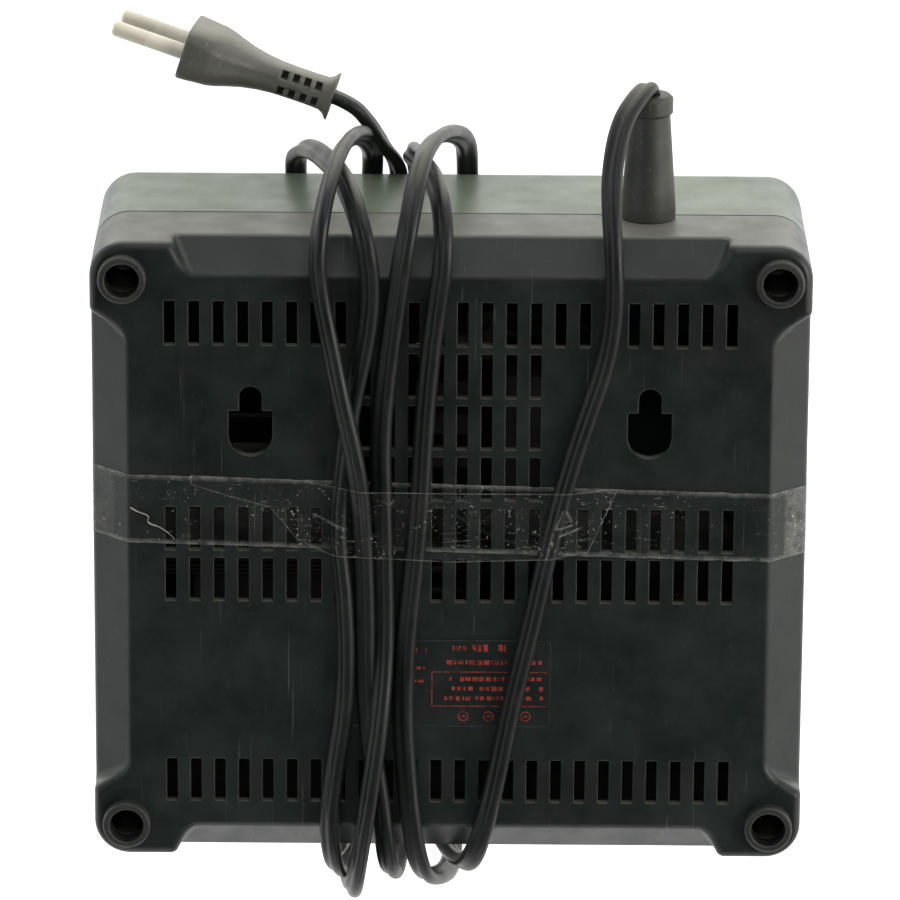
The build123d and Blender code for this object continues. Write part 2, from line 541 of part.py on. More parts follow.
with BuildPart() as thyristor:
    block((17.0, 27.0), (-39.95, -38.7), (on_board + 4, on_board + 20))
    block((17.0, 27.0), (-38.7, -36.4), (on_board + 4, on_board + 13))
    for x in (19.4, 22.0, 24.6):
        block((x - 0.4, x + 0.4), (-38.2, -37.6), (on_board, on_board + 4.5))
save(thyristor, "thyristor")

with BuildPart() as rectifier_diodes:
    for y in (-20.0, -26.0, -32.0, -38.0):
        with BuildSketch(Plane(origin=(-6.0, y, on_board + 3), z_dir=(1, 0, 0))):
            Circle(1.7)
        extrude(amount=8.0)
        for x in (-7.2, 3.2):
            post(x, y, (on_board, on_board + 3), 0.4)
        block((-7.6, -5.5), (y - 0.4, y + 0.4), (on_board + 2.6, on_board + 3.4))
        block((1.5, 3.6), (y - 0.4, y + 0.4), (on_board + 2.6, on_board + 3.4))
save(rectifier_diodes, "rectifier_diodes")

with BuildPart() as charge_resistors:
    for y in (30.0, 21.0, 12.0):
        block((-9.0, 7.0), (y - 2.6, y + 2.6), (on_board + 2, on_board + 8))
        for x in (-8.0, 6.0):
            post(x, y, (on_board, on_board + 2.5), 0.45)
save(charge_resistors, "charge_resistors")

with BuildPart() as mains_fuse:
    with BuildSketch(Plane(origin=(-9.0, 42.0, on_board + 6), z_dir=(1, 0, 0))):
        Circle(2.5)
    extrude(amount=20.0)
save(mains_fuse, "mains_fuse")

with BuildPart() as fuse_clips:
    for x in (-8.6, 6.4):
        block((x, x + 4.2), (38.6, 45.4), (on_board, on_board + 8))
    with BuildSketch(Plane(origin=(-10.0, 42.0, on_board + 6), z_dir=(1, 0, 0))):
        Circle(2.52)
    extrude(amount=24.0, mode=Mode.SUBTRACT)
    block((-10.0, 12.0), (40.3, 43.7), (on_board + 6, on_board + 9), Mode.SUBTRACT)
save(fuse_clips, "fuse_clips")

with BuildPart() as terminal_block:
    block((4.0, 28.0), (46.0, 52.5), (on_board, on_board + 11))
    for x in (8.0, 16.0, 24.0):
        post(x, 49.2, (on_board + 8, on_board + 12), 1.9, mode=Mode.SUBTRACT)
        post(x, 49.2, (on_board + 8, on_board + 9.6), 1.7)
save(terminal_block, "terminal_block")

with BuildPart() as control_chip:
    block((-6.0, 1.0), (-10.0, 2.0), (on_board + 0.5, on_board + 4))
    for y in (-9.0, -6.4, -3.8, -1.2):
        block((-7.0, 2.0), (y - 0.3, y + 0.3), (on_board + 1.6, on_board + 2.0))
        block((-7.0, -6.6), (y - 0.3, y + 0.3), (on_board, on_board + 2.0))
        block((1.6, 2.0), (y - 0.3, y + 0.3), (on_board, on_board + 2.0))
save(control_chip, "control_chip")

# ---- controls in the recess of the front --------------------------------------
STUD_R = 3.0
for name, (x, y) in TERMINALS.items():
    with BuildPart() as stud:
        post(x, y, (9.8, 31.0), STUD_R)
        post(x, y, (bay_roof + 3.2, bay_roof + 5.0), 5.0)
        chamfer(stud.faces().sort_by(Axis.Z)[0].edges(), 0.6)
    save(stud, f"{name}_stud")

    with BuildPart() as nut:
        with BuildSketch(Plane.XY.offset(bay_roof + 0.02)):
            with Locations((x, y)):
                RegularPolygon(5.6, 6)
                Circle(STUD_R, mode=Mode.SUBTRACT)
        extrude(amount=3.1)
    save(nut, f"{name}_nut")

    with BuildPart() as washer:
        with BuildSketch(Plane.XY.offset(BAY_DEPTH - 1.7)):
            with Locations((x, y)):
                Circle(7.0)
                Circle(STUD_R + 0.05, mode=Mode.SUBTRACT)
        extrude(amount=1.6)
    save(washer, f"{name}_washer")

    with BuildPart() as knob:
        post(x, y, (7.2, 19.4), 8.4)
        chamfer(knob.faces().sort_by(Axis.Z)[0].edges(), 1.2)
        post(x, y, (19.0, 20.25), 5.4)
        post(x, y, (9.4, 21.0), STUD_R + 0.05, mode=Mode.SUBTRACT)
        with Locations((x, y, 12.0)):
            with PolarLocations(8.9, 16):
                Cylinder(1.0, 12.0, mode=Mode.SUBTRACT)
    save(knob, f"{name}_knob")

def switch_block(half_x, half_y, z, mode=Mode.ADD):
    """A block centred on the switch, between two heights."""
    block((SWITCH[0] - half_x, SWITCH[0] + half_x), (SWITCH[1] - half_y, SWITCH[1] + half_y), z, mode)


with BuildPart() as switch_body:
    switch_block(11.0, 8.0, (BAY_DEPTH - 1.6, BAY_DEPTH - 0.02))
    switch_block(9.5, 6.5, (BAY_DEPTH - 1.6, 37.0))
    switch_block(8.0, 5.0, (BAY_DEPTH - 3, 32.0), Mode.SUBTRACT)
    for x in (-5.0, 5.0):
        block((SWITCH[0] + x - 0.4, SWITCH[0] + x + 0.4), (SWITCH[1] - 2.4, SWITCH[1] + 2.4), (37.0, 43.0))
save(switch_body, "switch_body")

ROCKER_Z, ROCKER_TILT = 24.5, 8.0
rocker_plane = Plane(origin=(SWITCH[0], SWITCH[1] - 4.6, ROCKER_Z), z_dir=(0, 1, 0),
                     x_dir=(cos(radians(ROCKER_TILT)), 0, -sin(radians(ROCKER_TILT))))
with BuildPart() as switch_rocker:
    with BuildSketch(rocker_plane):
        with BuildLine():
            Polyline((-6.7, 1.8), (-7.0, 6.2), (0, 3.6), (7.0, 6.2), (6.7, 1.8), (2.6, -3.0), (-2.6, -3.0),
                     close=True)
        make_face()
    extrude(amount=9.2)
    with BuildSketch(Plane(origin=(SWITCH[0], SWITCH[1] - 5.0, ROCKER_Z), z_dir=(0, 1, 0))):
        Circle(1.55)
    extrude(amount=10.0, mode=Mode.SUBTRACT)
save(switch_rocker, "switch_rocker")

with BuildPart() as rocker_pin:
    with BuildSketch(Plane(origin=(SWITCH[0], SWITCH[1] - 5.0, ROCKER_Z), z_dir=(0, 1, 0))):
        Circle(1.5)
    extrude(amount=10.0)
save(rocker_pin, "rocker_pin")

with BuildPart() as lamp_lens:
    post(LAMP[0], LAMP[1], (BAY_DEPTH - 3.0, BAY_DEPTH - 0.02), 4.3)
    fillet(lamp_lens.faces().sort_by(Axis.Z)[0].edges(), 1.6)
    post(LAMP[0], LAMP[1], (BAY_DEPTH - 0.5, 28.0), 3.2)
    post(LAMP[0], LAMP[1], (BAY_DEPTH - 1.0, 29.0), 2.6, mode=Mode.SUBTRACT)
save(lamp_lens, "lamp_lens")

with BuildPart() as indicator_led:
    post(LAMP[0], LAMP[1], (BAY_DEPTH, 30.0), 2.45)
    fillet(indicator_led.faces().sort_by(Axis.Z)[0].edges(), 1.8)
    for dx in (-1.2, 1.2):
        post(LAMP[0] + dx, LAMP[1], (30.0, 36.0), 0.35)
save(indicator_led, "indicator_led")

# ---- inside wiring -----------------------------------------------------------
WIRE_R = 0.9
lead_end_y = 76.2 - 17.2
WIRES = {
    "live_wire": [(RELIEF_X + 1.0, lead_end_y, RELIEF_Z), (RELIEF_X + 2.0, 50.0, 46.5),
                  (SWITCH[0] - 6.5, 42.0, 48.0), (SWITCH[0] - 5.0, SWITCH[1] + 0.5, 43.95)],
    "neutral_wire": [(RELIEF_X - 1.0, lead_end_y, RELIEF_Z), (45.0, 50.5, 45.0), (34.0, 47.6, 42.0),
                     (24.6, 48.6, 39.0), (24.0, 49.2, on_board + 10.6)],
    "switched_wire": [(SWITCH[0] + 5.0, SWITCH[1] + 0.5, 43.95), (SWITCH[0] + 3.0, 31.0, 50.0),
                      (50.0, 44.0, 54.0), (30.0, 55.5, 48.0), (16.6, 51.0, 42.0),
                      (16.0, 49.2, on_board + 10.6)],
    "fence_wire": [(TERMINALS["fence"][0] - 6.0, TERMINALS["fence"][1], bay_roof + 7.3),
                   (48.0, -32.0, 36.0), (39.0, -34.0, 56.0), (8.0, -36.0, 58.0), (-14.0, -22.0, 44.0),
                   (-24.0, -17.0, 34.0), (-29.6, -17.0, 32.0)],
    "earth_wire": [(TERMINALS["earth"][0] - 6.0, TERMINALS["earth"][1], bay_roof + 7.3),
                   (48.0, -5.0, 36.0), (42.0, -3.0, 56.0), (12.0, -2.0, 60.0), (-12.0, 14.0, 48.0),
                   (-23.0, 17.0, 36.0), (-29.6, 17.0, 33.0)],
}
for name, points in WIRES.items():
    corners = [Vector(*point) for point in points]
    wire, wire_length = tube(corners, corner_radii(corners), WIRE_R)
    save(wire, name)

with BuildPart() as ring_lugs:
    for x, y in TERMINALS.values():
        with BuildSketch(Plane.XY.offset(bay_roof + 5.1)):
            with Locations((x, y)):
                Circle(5.0)
            with Locations((x - 6.0, y)):
                Rectangle(6.0, 3.6)
            with Locations((x, y)):
                Circle(STUD_R + 0.05, mode=Mode.SUBTRACT)
        extrude(amount=0.9)
        block((x - 8.6, x - 5.2), (y - 1.6, y + 1.6), (bay_roof + 5.1, bay_roof + 6.3))
save(ring_lugs, "ring_lugs")

print("plug lowest", round(plug_body.part.bounding_box().min.Z, 2))
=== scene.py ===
"""Looks for the fence energizer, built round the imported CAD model: the wound flat twin lead, its plug,
the sticky tape, the worn print and the finish of every visible part. Metres, in the CAD's frame."""
import json
import math
import random

import bmesh
import bpy
from mathutils import Matrix, Vector, noise


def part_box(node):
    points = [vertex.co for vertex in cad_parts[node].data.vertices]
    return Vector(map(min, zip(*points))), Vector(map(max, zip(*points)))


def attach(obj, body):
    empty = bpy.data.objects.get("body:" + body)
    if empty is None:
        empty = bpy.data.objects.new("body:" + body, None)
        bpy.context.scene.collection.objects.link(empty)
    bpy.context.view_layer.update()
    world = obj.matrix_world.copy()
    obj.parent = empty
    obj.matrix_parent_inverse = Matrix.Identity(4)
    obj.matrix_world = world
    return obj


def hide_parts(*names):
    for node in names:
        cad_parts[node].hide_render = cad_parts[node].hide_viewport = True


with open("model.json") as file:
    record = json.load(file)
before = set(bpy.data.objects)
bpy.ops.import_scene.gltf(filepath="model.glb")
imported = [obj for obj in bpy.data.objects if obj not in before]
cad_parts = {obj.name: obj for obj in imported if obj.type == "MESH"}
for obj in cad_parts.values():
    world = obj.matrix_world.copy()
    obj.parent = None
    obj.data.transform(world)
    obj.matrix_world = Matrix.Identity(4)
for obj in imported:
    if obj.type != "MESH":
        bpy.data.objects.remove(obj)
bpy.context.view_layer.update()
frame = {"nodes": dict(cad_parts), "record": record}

MM = 0.001
BODY = "case"
case_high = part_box("front_cover")[1] / MM
BACK_Z = 72.0


# ---- helpers -----------------------------------------------------------------
def make_piece(name, vertices, faces, material, body=BODY, smooth=True):
    """A mesh in metres from points in millimetres, riding on a body."""
    mesh = bpy.data.meshes.new(name)
    mesh.from_pydata([Vector(point) * MM for point in vertices], [], faces)
    mesh.polygons.foreach_set("use_smooth", [smooth] * len(mesh.polygons))
    mesh.materials.append(material)
    piece = bpy.data.objects.new(name, mesh)
    bpy.context.scene.collection.objects.link(piece)
    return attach(piece, body)


def grid_faces(rows, columns, first=0):
    """Quads of a grid of vertices that is stored row after row."""
    return [(first + r * columns + c, first + r * columns + c + 1,
             first + (r + 1) * columns + c + 1, first + (r + 1) * columns + c)
            for r in range(rows - 1) for c in range(columns - 1)]


def tube_faces(rings, count):
    """Quads between rings of vertices, and a face over each end."""
    faces = [(i * count + j, i * count + (j + 1) % count,
              (i + 1) * count + (j + 1) % count, (i + 1) * count + j)
             for i in range(rings - 1) for j in range(count)]
    return faces + [tuple(range(count))[::-1], tuple(range((rings - 1) * count, rings * count))]


def tangent_at(line, index):
    """Direction of a line of points at one of them."""
    return (line[min(index + 1, len(line) - 1)] - line[max(index - 1, 0)]).normalized()


# ---- camera, floor and light ---------------------------------------------------
def add_camera():
    """The photograph's view: 18 degrees over the side where the lead leaves, from 1.6 m."""
    tilt, roll, distance = math.radians(18), math.radians(0.4), 1.6335
    towards = Vector((0, math.sin(tilt), math.cos(tilt)))
    right = Vector((1, 0, 0))
    up = Vector((0, math.cos(tilt), -math.sin(tilt)))
    across = right * math.cos(roll) + up * math.sin(roll)
    upward = up * math.cos(roll) - right * math.sin(roll)
    camera = bpy.data.objects.new("camera", bpy.data.cameras.new("camera"))
    camera.data.sensor_width = 36
    camera.data.lens = 260.7
    camera.data.clip_end = 20
    place = Vector((0, 27.97, 72.0)) * MM + towards * distance
    camera.matrix_world = Matrix.Translation(place) @ Matrix((across, upward, towards)).transposed().to_4x4()
    bpy.context.scene.collection.objects.link(camera)
    bpy.context.scene.camera = camera


def add_light(name, place, size, power, colour=(1, 1, 1)):
    """A square softbox aimed at the object."""
    data = bpy.data.lights.new(name, "AREA")
    data.size = size
    data.energy = power
    data.color = colour
    lamp = bpy.data.objects.new(name, data)
    lamp.location = place
    lamp.rotation_mode = "QUATERNION"
    lamp.rotation_quaternion = (Vector((0, 0, 0.03)) - Vector(place)).to_track_quat("-Z", "Y")
    bpy.context.scene.collection.objects.link(lamp)


def add_studio():
    """A pale floor, a room that is bright low down and dim overhead, four softboxes and a weak fill."""
    scene = bpy.context.scene
    scene.view_settings.view_transform = "Standard"
    world = bpy.data.worlds.new("studio")
    scene.world = world
    world.use_nodes = True
    nodes, links = world.node_tree.nodes, world.node_tree.links
    coordinates = nodes.new("ShaderNodeTexCoord")
    split = nodes.new("ShaderNodeSeparateXYZ")
    height = nodes.new("ShaderNodeMapRange")
    height.inputs["From Min"].default_value = 0.02
    height.inputs["From Max"].default_value = 0.6
    height.inputs["To Min"].default_value = 1.1
    height.inputs["To Max"].default_value = 0.02
    links.new(coordinates.outputs["Generated"], split.inputs[0])
    links.new(split.outputs["Z"], height.inputs["Value"])
    links.new(height.outputs[0], nodes["Background"].inputs["Strength"])
    nodes["Background"].inputs["Color"].default_value = (1, 1, 0.985, 1)
    add_light("softbox_right", (1.5, 0.1, 1.1), 1.0, 20, (1, 0.97, 0.92))
    add_light("softbox_left", (-1.5, 0.2, 1.1), 1.0, 4.5, (0.94, 0.98, 1))
    add_light("softbox_far", (0.2, 1.6, 1.2), 1.1, 8)
    add_light("softbox_near", (-0.2, -1.6, 1.1), 1.1, 6)
    add_light("fill_above", (0.1, 0.62, 1.62), 0.5, 1.0, (0.95, 1, 1))

    floor = bpy.data.meshes.new("floor")
    floor.from_pydata([(-3, -3, 0), (3, -3, 0), (3, 3, 0), (-3, 3, 0)], [], [(0, 1, 2, 3)])
    floor.materials.append(floor_paper())
    piece = bpy.data.objects.new("floor", floor)
    piece.location.z = -0.0002
    scene.collection.objects.link(piece)


# ---- materials -----------------------------------------------------------------
class Shader:
    """A material under construction: its principled shader and short names for common nodes."""

    def __init__(self, name, roughness=0.5, metallic=0.0, specular=0.5):
        self.material = bpy.data.materials.new(name)
        self.material.use_nodes = True
        self.nodes = self.material.node_tree.nodes
        self.links = self.material.node_tree.links
        self.principled = self.nodes["Principled BSDF"]
        self.principled.inputs["Roughness"].default_value = roughness
        self.principled.inputs["Metallic"].default_value = metallic
        self.principled.inputs["Specular IOR Level"].default_value = specular
        self.place = self.nodes.new("ShaderNodeTexCoord").outputs["Object"]

    def put(self, value, socket):
        """Links an output to a socket, or sets the socket to a value."""
        if isinstance(value, bpy.types.NodeSocket):
            self.links.new(value, socket)
        else:
            socket.default_value = value

    def noise(self, scale, detail=3.0, rough=0.55, stretch=None, distortion=0.0):
        """Noise over the object's place, in features per metre."""
        node = self.nodes.new("ShaderNodeTexNoise")
        node.inputs["Scale"].default_value = scale
        node.inputs["Detail"].default_value = detail
        node.inputs["Roughness"].default_value = rough
        node.inputs["Distortion"].default_value = distortion
        place = self.place
        if stretch:
            mapping = self.nodes.new("ShaderNodeMapping")
            mapping.inputs["Rotation"].default_value = (0, 0, stretch[3])
            mapping.inputs["Scale"].default_value = stretch[:3]
            self.links.new(place, mapping.inputs["Vector"])
            place = mapping.outputs[0]
        self.links.new(place, node.inputs["Vector"])
        return node.outputs["Fac"]

    def ramp(self, value, low, high, out=(0.0, 1.0)):
        """Carries a value from low..high to the given range, clamped."""
        node = self.nodes.new("ShaderNodeMapRange")
        for name, number in zip(("From Min", "From Max", "To Min", "To Max"), (low, high, *out)):
            node.inputs[name].default_value = number
        self.links.new(value, node.inputs["Value"])
        return node.outputs[0]

    def maths(self, operation, first, second):
        """One arithmetic step, clamped to 0..1."""
        node = self.nodes.new("ShaderNodeMath")
        node.operation = operation
        node.use_clamp = True
        self.put(first, node.inputs[0])
        self.put(second, node.inputs[1])
        return node.outputs[0]

    def mix(self, factor, first, second):
        """Colour between first and second."""
        node = self.nodes.new("ShaderNodeMix")
        node.data_type = "RGBA"
        self.put(factor, node.inputs[0])
        for value, socket in ((first, node.inputs[6]), (second, node.inputs[7])):
            self.put((*value, 1) if isinstance(value, tuple) else value, socket)
        return node.outputs[2]

    def edges(self, radius):
        """1 near sharp edges and 0 elsewhere, and the rounded normal."""
        rounded = self.nodes.new("ShaderNodeBevel")
        rounded.samples = 4
        rounded.inputs["Radius"].default_value = radius
        flat = self.nodes.new("ShaderNodeNewGeometry")
        dot = self.nodes.new("ShaderNodeVectorMath")
        dot.operation = "DOT_PRODUCT"
        self.links.new(rounded.outputs[0], dot.inputs[0])
        self.links.new(flat.outputs["Normal"], dot.inputs[1])
        return self.ramp(dot.outputs["Value"], 0.985, 0.8), rounded.outputs[0]

    def bump(self, height, strength, distance, normal=None):
        """Adds relief to the surface."""
        node = self.nodes.new("ShaderNodeBump")
        node.inputs["Strength"].default_value = strength
        node.inputs["Distance"].default_value = distance
        self.links.new(height, node.inputs["Height"])
        if normal is not None:
            self.links.new(normal, node.inputs["Normal"])
        self.links.new(node.outputs[0], self.principled.inputs["Normal"])
        return node.outputs[0]

    def finish(self, colour, roughness=None):
        """Sets the colour and roughness, and returns the material."""
        self.put(colour, self.principled.inputs["Base Color"])
        if roughness is not None:
            self.put(roughness, self.principled.inputs["Roughness"])
        return self.material


def darker(colour, share):
    """The colour times a share."""
    return tuple(part * share for part in colour)


def moulded(name, base, dust=(0.16, 0.155, 0.13), cover=0.25, roughness=0.42, grain=1400.0, relief=0.12,
            specular=0.5, edge_wear_and_highlight=0.35, edge=0.0005, scratch=0.25, plus_y_dust_and_light=0.0):
    """Moulded plastic or rubber: blotches, dust, fine grain, scratches and pale worn edges, on the feet also
    a painted highlight. The faces towards +Y, the lit side, get a pale film that is partly dust and partly
    painted light."""
    s = Shader(name, roughness, specular=specular)
    colour = s.mix(s.ramp(s.noise(26, 5), 0.32, 0.68), darker(base, 0.72), darker(base, 1.3))
    film = s.ramp(s.noise(55, 7, 0.65), 0.42, 0.78)
    specks = s.ramp(s.noise(780, 2), 0.66, 0.74)
    dusty = s.maths("MULTIPLY", s.maths("ADD", s.maths("MULTIPLY", film, 0.55), specks), cover)
    colour = s.mix(dusty, colour, dust)
    # Pale film on the faces towards +Y: partly dust, partly painted light of the lit side.
    if plus_y_dust_and_light:
        split = s.nodes.new("ShaderNodeSeparateXYZ")
        s.links.new(s.nodes.new("ShaderNodeNewGeometry").outputs["Normal"], split.inputs[0])
        plus_y_dust_and_light_mask = s.ramp(split.outputs["Y"], 0.72, 0.97, (0, plus_y_dust_and_light))
        patches = s.ramp(s.noise(34, 5), 0.3, 0.65, (0.6, 1.0))
        colour = s.mix(s.maths("MULTIPLY", plus_y_dust_and_light_mask, patches), colour, dust)
    streaks = [s.ramp(s.noise(1, 3, 0.5, (1500, 26, 60, turn), 0.4), 0.715, 0.76)
               for turn in (0.3, 1.25, -0.8)]
    marks = s.maths("MAXIMUM", s.maths("MAXIMUM", streaks[0], streaks[1]), streaks[2])
    colour = s.mix(s.maths("MULTIPLY", marks, scratch), colour, dust)
    edge_mask, rounded = s.edges(edge)
    # Pale edges: wear, and on the feet also a painted highlight along the rims.
    worn = s.maths("MULTIPLY", edge_mask, s.ramp(s.noise(190, 4), 0.35, 0.65, (0.25 * edge_wear_and_highlight, edge_wear_and_highlight)))
    colour = s.mix(worn, colour, dust)
    s.bump(s.maths("ADD", s.noise(grain, 2), s.maths("MULTIPLY", marks, 0.3)), relief, 0.0003, rounded)
    rough = s.ramp(s.noise(120, 4), 0.3, 0.7, (roughness - 0.05, roughness + 0.1))
    return s.finish(colour, rough)


def floor_paper():
    """Pale paper with a faint tone and tooth."""
    s = Shader("floor_paper", 0.9, specular=0.2)
    s.bump(s.noise(400, 3), 0.05, 0.0002)
    s.principled.inputs["Emission Color"].default_value = (1, 1, 0.99, 1)
    s.principled.inputs["Emission Strength"].default_value = 1.0
    return s.finish(s.mix(s.noise(3, 4), (0.9, 0.9, 0.895), (0.93, 0.93, 0.925)))


def metal(name, base, roughness=0.3, tarnish=0.35, brush=None, metallic=1.0):
    """Plated or bare metal with tarnish and fine brushing. A low metallic share leaves the base colour as
    diffuse colour, which on the pins is a painted reflection of the pale floor.
    """
    s = Shader(name, roughness, metallic)
    colour = s.mix(s.ramp(s.noise(160, 6), 0.4, 0.75, (0, tarnish)), base, darker(base, 0.45))
    lines = s.noise(1, 2, 0.5, brush or (300, 2600, 300, 0.0))
    s.bump(lines, 0.12, 0.0001, s.edges(0.0003)[1])
    return s.finish(colour, s.ramp(lines, 0.3, 0.7, (roughness * 0.75, roughness * 1.4)))


def clear(name, base, roughness, transmission):
    """Glass or clear plastic with a faint tint and smears."""
    s = Shader(name, roughness)
    s.principled.inputs["Transmission Weight"].default_value = transmission
    smears = s.ramp(s.noise(300, 5), 0.45, 0.7, (roughness, roughness + 0.2))
    return s.finish(s.mix(s.noise(90, 3), base, darker(base, 0.8)), smears)


def wound_wire(name, base):
    """Enamelled wire laid in layers round the bobbin."""
    s = Shader(name, 0.32)
    turns = s.nodes.new("ShaderNodeTexWave")
    turns.bands_direction = "Z"
    turns.inputs["Scale"].default_value = 380
    turns.inputs["Distortion"].default_value = 0.6
    s.links.new(s.place, turns.inputs["Vector"])
    s.bump(turns.outputs["Fac"], 0.8, 0.0003)
    # The bands darken between the turns: painted shade of the round wire.
    return s.finish(s.mix(turns.outputs["Fac"], darker(base, 0.35), base))


def laminated(name, base):
    """Stacked sheet steel: thin lines along the stack, varnish and rust."""
    s = Shader(name, 0.45, 0.6)
    sheets = s.nodes.new("ShaderNodeTexWave")
    sheets.bands_direction = "Y"
    sheets.inputs["Scale"].default_value = 300
    s.links.new(s.place, sheets.inputs["Vector"])
    s.bump(sheets.outputs["Fac"], 0.5, 0.0002)
    rust = s.ramp(s.noise(140, 6), 0.5, 0.72, (0, 0.6))
    return s.finish(s.mix(rust, s.mix(sheets.outputs["Fac"], darker(base, 0.5), base), (0.19, 0.08, 0.03)))


def printed_board(name, base):
    """Solder mask with copper tracks showing through."""
    s = Shader(name, 0.3)
    tracks = s.ramp(s.noise(1, 0, 0.5, (160, 420, 1, 0.0)), 0.5, 0.53)
    s.bump(tracks, 0.3, 0.0001)
    return s.finish(s.mix(tracks, base, darker(base, 2.0)))


def tape_film():
    """Clear sticky tape: a thin see-through film with dust caught in its glue, most of it at the rims."""
    s = Shader("tape_film", 0.22)
    rim = s.nodes.new("ShaderNodeAttribute")
    rim.attribute_name = "rim"
    haze = s.ramp(s.noise(70, 6, 0.65), 0.4, 0.8, (0.0, 0.035))
    specks = s.ramp(s.noise(900, 2), 0.655, 0.7, (0.0, 0.5))
    fibres = s.ramp(s.noise(1, 3, 0.5, (240, 1700, 60, 0.5), 1.2), 0.66, 0.7, (0.0, 0.35))
    patches = s.ramp(s.noise(120, 3), 0.42, 0.6)
    cover = s.maths("ADD", haze, s.maths("MULTIPLY", s.maths("ADD", specks, fibres), patches))
    rim_dust = s.ramp(s.noise(420, 3), 0.25, 0.6, (0.05, 0.5))
    cover = s.maths("ADD", cover, s.maths("MULTIPLY", rim.outputs["Fac"], rim_dust))
    s.put(cover, s.principled.inputs["Alpha"])
    creases = s.noise(1, 4, 0.6, (90, 420, 60, 0.25), 0.8)
    s.bump(creases, 0.35, 0.0006)
    colour = s.mix(specks, (0.34, 0.345, 0.32), (0.62, 0.6, 0.52))
    return s.finish(colour, s.ramp(haze, 0.0, 0.035, (0.22, 0.42)))


def rolled_glue():
    """Pale glue, rough and uneven in tone."""
    s = Shader("rolled_glue", 0.5)
    s.bump(s.noise(1500, 3), 0.6, 0.0002)
    return s.finish(s.mix(s.noise(500, 3), (0.2, 0.2, 0.18), (0.5, 0.5, 0.45)))


def worn_print():
    """Red print rubbed away in patches."""
    s = Shader("worn_print", 0.5)
    left = s.ramp(s.noise(700, 4, 0.6), 0.38, 0.52, (0.25, 0.95))
    s.put(left, s.principled.inputs["Alpha"])
    return s.finish(s.mix(s.noise(200, 2), (0.28, 0.03, 0.018), (0.4, 0.05, 0.03)))


WARM_DUST = (0.3, 0.29, 0.22)
# Dark dust colour of the inner wires: painted shade.
PAINTED_SHADE_DUST = (0.03, 0.028, 0.024)
